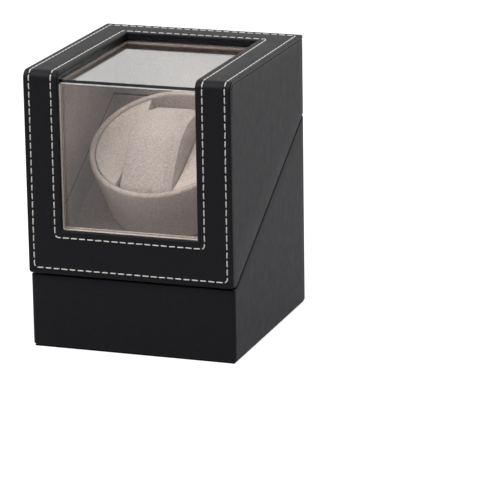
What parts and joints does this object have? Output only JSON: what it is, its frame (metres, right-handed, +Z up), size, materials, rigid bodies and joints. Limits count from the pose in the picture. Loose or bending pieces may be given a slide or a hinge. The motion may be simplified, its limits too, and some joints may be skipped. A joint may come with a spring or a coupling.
{
  "type": "watch winder box",
  "caption": "Upright leather-wrapped box with a slanted hinged lid, a clear front and top window, and a tilted motor-driven drum that holds a watch cushion.",
  "frame": {"origin": "centre of the footprint, on the surface that the box stands on", "axes": "+Z up, -Y is the window side, +Y is the hinge side with the power inlet, +X is to the right seen from the front"},
  "size_m": [0.125, 0.1344, 0.165],
  "materials": {
    "leather_black": "fine-grained black artificial leather, satin",
    "velvet_cream": "short pinkish-beige velvet, matte",
    "pillow_velvet": "short pinkish-beige velvet, matte",
    "felt_black": "black felt",
    "acrylic_clear": "clear polished acrylic",
    "hinge_nickel": "bright nickel plate",
    "steel": "zinc-plated steel",
    "black_plastic": "moulded black plastic",
    "nylon": "natural nylon",
    "brass": "turned brass",
    "circuit_green": "green solder mask",
    "wire_red": "red insulation",
    "wire_black": "black insulation"
  },
  "bodies": {
    "base": {"base_front_wall": "leather_black", "base_left_wall": "leather_black", "base_right_wall": "leather_black", "base_back_wall": "leather_black", "bottom_panel": "leather_black", "bottom_felt": "felt_black", "deck_panel": "velvet_cream", "base_lip_left": "velvet_cream", "base_lip_right": "velvet_cream", "base_lip_front": "velvet_cream", "base_lip_back": "velvet_cream", "deck_bush": "brass", "gearbox": "steel", "motor_can": "steel", "motor_bracket": "steel", "bracket_screw_1": "steel", "bracket_screw_2": "steel", "circuit_board": "circuit_green", "dc_jack": "black_plastic", "dc_jack_nut": "steel", "mode_switch_body": "black_plastic", "motor_lead_red": "wire_red", "motor_lead_black": "wire_black", "hinge_leaf_base_left": "hinge_nickel", "hinge_leaf_base_right": "hinge_nickel", "hinge_pin_left": "steel", "hinge_pin_right": "steel", "hinge_screw_base_1": "hinge_nickel", "hinge_screw_base_2": "hinge_nickel", "hinge_screw_base_3": "hinge_nickel", "hinge_screw_base_4": "hinge_nickel"},
    "lid": {"lid_left_wall": "leather_black", "lid_right_wall": "leather_black", "lid_back_wall": "leather_black", "lid_front_board": "leather_black", "lid_top_board": "leather_black", "lid_facing": "leather_black", "front_pane": "acrylic_clear", "top_pane": "acrylic_clear", "front_pane_retainer": "velvet_cream", "top_pane_retainer": "velvet_cream", "lid_lining_left": "velvet_cream", "lid_lining_right": "velvet_cream", "lid_lining_back": "velvet_cream", "hinge_leaf_lid_left": "hinge_nickel", "hinge_leaf_lid_right": "hinge_nickel", "hinge_screw_lid_1": "hinge_nickel", "hinge_screw_lid_2": "hinge_nickel", "hinge_screw_lid_3": "hinge_nickel", "hinge_screw_lid_4": "hinge_nickel"},
    "turntable": {"drum_cup": "velvet_cream", "cup_insert_left": "velvet_cream", "cup_insert_right": "velvet_cream", "drum_hub": "black_plastic", "drum_gear": "nylon", "shaft_clip": "steel"},
    "pinion": {"motor_pinion": "brass"},
    "pillow": {"watch_pillow": "pillow_velvet"},
    "mode_switch": {"mode_switch_knob": "black_plastic"}
  },
  "joints": [
    {"name": "lid_hinge", "type": "hinge", "parent": "base", "child": "lid", "pos_m": [0, 0.0653, 0.1176], "axis": [-1, 0, 0], "range_deg": [0, 95]},
    {"name": "drum_spin", "type": "hinge", "parent": "base", "child": "turntable", "pos_m": [0, 0.009, 0.0852], "axis": [0, -0.5, 0.866], "continuous": true},
    {"name": "pinion_spin", "type": "hinge", "parent": "base", "child": "pinion", "pos_m": [0.0252, 0.009, 0.0852], "axis": [0, -0.5, 0.866], "continuous": true},
    {"name": "pillow_lift", "type": "slide", "parent": "turntable", "child": "pillow", "axis": [0, -0.5, 0.866], "range_m": [0, 0.025]},
    {"name": "mode_select", "type": "slide", "parent": "base", "child": "mode_switch", "axis": [1, 0, 0], "range_m": [-0.0025, 0.0025]}
  ],
  "couplings": [
    {"joint": "pinion_spin", "follows": "drum_spin", "ratio": -3}
  ]
}
